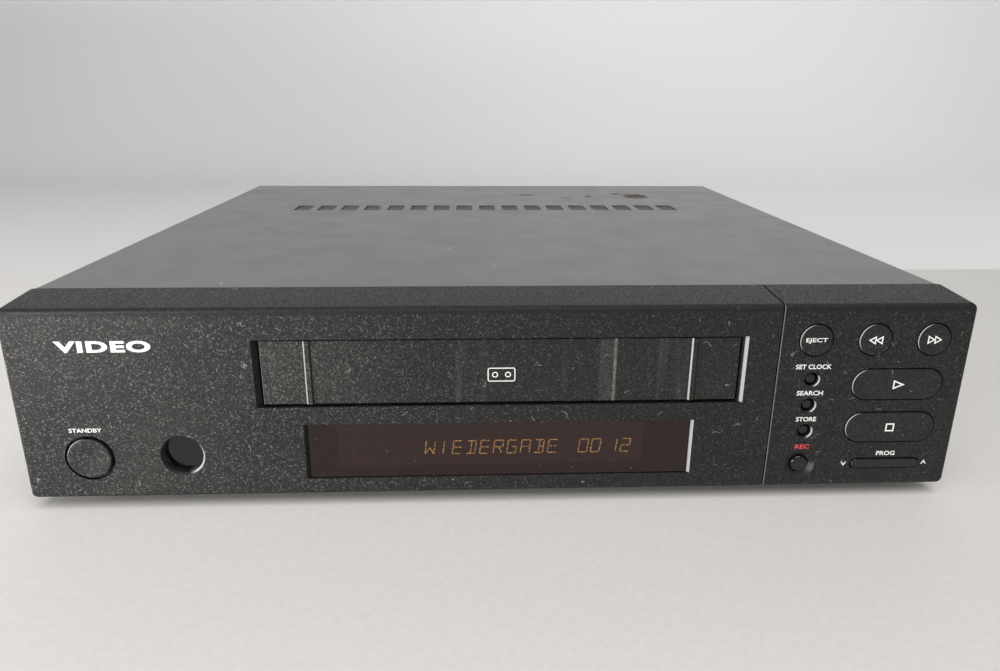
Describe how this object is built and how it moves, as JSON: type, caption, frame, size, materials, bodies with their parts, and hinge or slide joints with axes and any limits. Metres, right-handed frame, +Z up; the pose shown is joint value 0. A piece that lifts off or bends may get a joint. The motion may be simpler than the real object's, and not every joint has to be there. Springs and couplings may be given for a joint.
{
  "type": "video cassette recorder",
  "caption": "Low black table-top video cassette recorder: hinged cassette flap over a display window, control panel with round and long buttons, grey vented cover, full tape deck inside.",
  "frame": {"origin": "on the table under the middle of the cabinet", "axes": "+X to the right seen from the front, +Y from front to back, +Z up"},
  "size_m": [0.4, 0.3506, 0.0927],
  "materials": {
    "black_abs": "fine spark grain, dull black",
    "flap_abs": "fine spark grain, dull black",
    "cover_paint": "satin grey textured paint",
    "rear_paint": "dull black paint",
    "plated_sheet": "zinc-plated pressed sheet",
    "frame_plastic": "moulded black plastic",
    "foot_rubber": "dull rubber",
    "screw_steel": "blackened steel",
    "smoked_window": "smoked transparent acrylic",
    "button_black": "semi-gloss black",
    "circuit_board": "brown paper laminate",
    "part_black": "moulded black plastic",
    "tube_glass": "dark glass",
    "tinned_steel": "tinned sheet",
    "transformer_iron": "varnished laminations",
    "capacitor_sleeve": "shrunk sleeve",
    "plain_aluminium": "machined or extruded aluminium",
    "polished_steel": "polished steel",
    "roller_rubber": "ground rubber",
    "white_plastic": "moulded acetal",
    "ribbon_grey": "flat ribbon"
  },
  "bodies": {
    "cabinet": {"audio_head": "polished_steel", "bottom_plate": "plated_sheet", "capstan_motor": "tinned_steel", "case_screws": "screw_steel", "chassis_frame": "frame_plastic", "control_panel": "black_abs", "deck_chassis": "plated_sheet", "display_board": "circuit_board", "display_tube": "tube_glass", "display_window": "smoked_window", "drum_lower": "plain_aluminium", "erase_head": "polished_steel", "feet": "foot_rubber", "front_panel": "black_abs", "heat_sink": "plain_aluminium", "inner_screws": "screw_steel", "ir_receiver": "tinned_steel", "ir_window": "smoked_window", "loading_motor": "tinned_steel", "main_board": "circuit_board", "main_board_parts": "part_black", "mains_inlet": "part_black", "operation_board": "circuit_board", "power_board": "circuit_board", "power_transformer": "transformer_iron", "rear_panel": "rear_paint", "ribbon_leads": "ribbon_grey", "scart_sockets": "part_black", "side_rails": "plated_sheet", "smoothing_capacitors": "capacitor_sleeve", "tact_switches": "part_black", "top_cover": "cover_paint", "tuner_module": "tinned_steel"},
    "flap": {"cassette_flap": "flap_abs", "flap_spring": "polished_steel"},
    "rocker": {"program_rocker": "button_black"},
    "drum_rotor": {"drum_upper": "plain_aluminium"},
    "capstan_rotor": {"capstan_flywheel": "polished_steel"},
    "pinch_lever": {"pinch_arm": "plated_sheet"},
    "pinch_wheel": {"pinch_roller": "roller_rubber"},
    "supply_table": {"supply_reel": "white_plastic"},
    "takeup_table": {"takeup_reel": "white_plastic"},
    "tension_lever": {"tension_arm": "plated_sheet"},
    "supply_carrier": {"supply_guide": "polished_steel"},
    "takeup_carrier": {"takeup_guide": "polished_steel"},
    "ring_gear": {"loading_gear": "white_plastic"},
    "pinion": {"loading_pinion": "white_plastic"},
    "carriage": {"basket_carriage": "plated_sheet"},
    "basket": {"cassette_basket": "plated_sheet"},
    "standby_key": {"standby_button": "button_black"},
    "eject_key": {"eject_button": "button_black"},
    "rewind_key": {"rewind_button": "button_black"},
    "fast_forward_key": {"fast_forward_button": "button_black"},
    "play_key": {"play_button": "button_black"},
    "stop_key": {"stop_button": "button_black"},
    "set_clock_key": {"set_clock_button": "button_black"},
    "search_key": {"search_button": "button_black"},
    "store_key": {"store_button": "button_black"},
    "record_key": {"record_button": "button_black"}
  },
  "joints": [
    {"name": "flap_hinge", "type": "hinge", "parent": "cabinet", "child": "flap", "pos_m": [0.0015, -0.171, 0.0762], "axis": [1, 0, 0], "range_deg": [0, 90], "stiffness_Nm_per_rad": 0.002, "springref_deg": -20.05},
    {"name": "rocker_pivot", "type": "hinge", "parent": "cabinet", "child": "rocker", "pos_m": [0.171, -0.17, 0.017], "axis": [0, 0, 1], "range_deg": [-2.5, 2.5], "stiffness_Nm_per_rad": 0.01},
    {"name": "drum_spin", "type": "hinge", "parent": "cabinet", "child": "drum_rotor", "pos_m": [0.0015, 0.0339, 0.0405], "axis": [0, -0.0958, 0.9954], "continuous": true},
    {"name": "capstan_spin", "type": "hinge", "parent": "cabinet", "child": "capstan_rotor", "pos_m": [0.064, 0.0039, 0.024], "axis": [0, 0, 1], "continuous": true},
    {"name": "pinch_swing", "type": "hinge", "parent": "cabinet", "child": "pinch_lever", "pos_m": [0.092, -0.0021, 0.0305], "axis": [0, 0, 1], "range_deg": [-25, 0], "stiffness_Nm_per_rad": 0.01},
    {"name": "pinch_roller_spin", "type": "hinge", "parent": "pinch_lever", "child": "pinch_wheel", "pos_m": [0.06522, -0.01702, 0.0323], "axis": [0, 0, 1], "continuous": true},
    {"name": "supply_reel_spin", "type": "hinge", "parent": "cabinet", "child": "supply_table", "pos_m": [-0.0445, -0.0651, 0.0257], "axis": [0, 0, 1], "continuous": true},
    {"name": "takeup_reel_spin", "type": "hinge", "parent": "cabinet", "child": "takeup_table", "pos_m": [0.0475, -0.0651, 0.0257], "axis": [0, 0, 1], "continuous": true},
    {"name": "tension_swing", "type": "hinge", "parent": "cabinet", "child": "tension_lever", "pos_m": [-0.078, -0.0021, 0.0262], "axis": [0, 0, 1], "range_deg": [0, 30], "stiffness_Nm_per_rad": 0.01},
    {"name": "loading_turn", "type": "hinge", "parent": "cabinet", "child": "ring_gear", "pos_m": [-0.072, 0.0516, 0.026], "axis": [0, 0, 1], "range_deg": [0, 150]},
    {"name": "pinion_turn", "type": "hinge", "parent": "cabinet", "child": "pinion", "pos_m": [-0.09452, 0.0386, 0.026], "axis": [0, 0, 1], "range_deg": [-500, 0]},
    {"name": "supply_guide_slide", "type": "slide", "parent": "cabinet", "child": "supply_carrier", "axis": [-0.2272, 0.9738, 0], "range_m": [0, 0.06161]},
    {"name": "takeup_guide_slide", "type": "slide", "parent": "cabinet", "child": "takeup_carrier", "axis": [0.2272, 0.9738, 0], "range_m": [0, 0.06161]},
    {"name": "carriage_slide", "type": "slide", "parent": "cabinet", "child": "carriage", "axis": [0, -1, 0], "range_m": [-0.08, 0]},
    {"name": "basket_lift", "type": "slide", "parent": "carriage", "child": "basket", "axis": [0, 0, 1], "range_m": [-0.02, 0]},
    {"name": "standby_press", "type": "slide", "parent": "cabinet", "child": "standby_key", "axis": [0, 1, 0], "range_m": [0, 0.0006], "stiffness_N_per_m": 150, "springref_m": -0.002},
    {"name": "eject_press", "type": "slide", "parent": "cabinet", "child": "eject_key", "axis": [0, 1, 0], "range_m": [0, 0.0006], "stiffness_N_per_m": 150, "springref_m": -0.002},
    {"name": "rewind_press", "type": "slide", "parent": "cabinet", "child": "rewind_key", "axis": [0, 1, 0], "range_m": [0, 0.0006], "stiffness_N_per_m": 150, "springref_m": -0.002},
    {"name": "fast_forward_press", "type": "slide", "parent": "cabinet", "child": "fast_forward_key", "axis": [0, 1, 0], "range_m": [0, 0.0006], "stiffness_N_per_m": 150, "springref_m": -0.002},
    {"name": "play_press", "type": "slide", "parent": "cabinet", "child": "play_key", "axis": [0, 1, 0], "range_m": [0, 0.0006], "stiffness_N_per_m": 150, "springref_m": -0.002},
    {"name": "stop_press", "type": "slide", "parent": "cabinet", "child": "stop_key", "axis": [0, 1, 0], "range_m": [0, 0.0006], "stiffness_N_per_m": 150, "springref_m": -0.002},
    {"name": "set_clock_press", "type": "slide", "parent": "cabinet", "child": "set_clock_key", "axis": [0, 1, 0], "range_m": [0, 0.0006], "stiffness_N_per_m": 150, "springref_m": -0.002},
    {"name": "search_press", "type": "slide", "parent": "cabinet", "child": "search_key", "axis": [0, 1, 0], "range_m": [0, 0.0006], "stiffness_N_per_m": 150, "springref_m": -0.002},
    {"name": "store_press", "type": "slide", "parent": "cabinet", "child": "store_key", "axis": [0, 1, 0], "range_m": [0, 0.0006], "stiffness_N_per_m": 150, "springref_m": -0.002},
    {"name": "record_press", "type": "slide", "parent": "cabinet", "child": "record_key", "axis": [0, 1, 0], "range_m": [0, 0.0006], "stiffness_N_per_m": 150, "springref_m": -0.002}
  ],
  "couplings": [
    {"joint": "pinion_turn", "follows": "loading_turn", "ratio": -3.3333},
    {"joint": "supply_guide_slide", "follows": "loading_turn", "m_per_rad": 0.023534},
    {"joint": "takeup_guide_slide", "follows": "loading_turn", "m_per_rad": 0.023534}
  ]
}
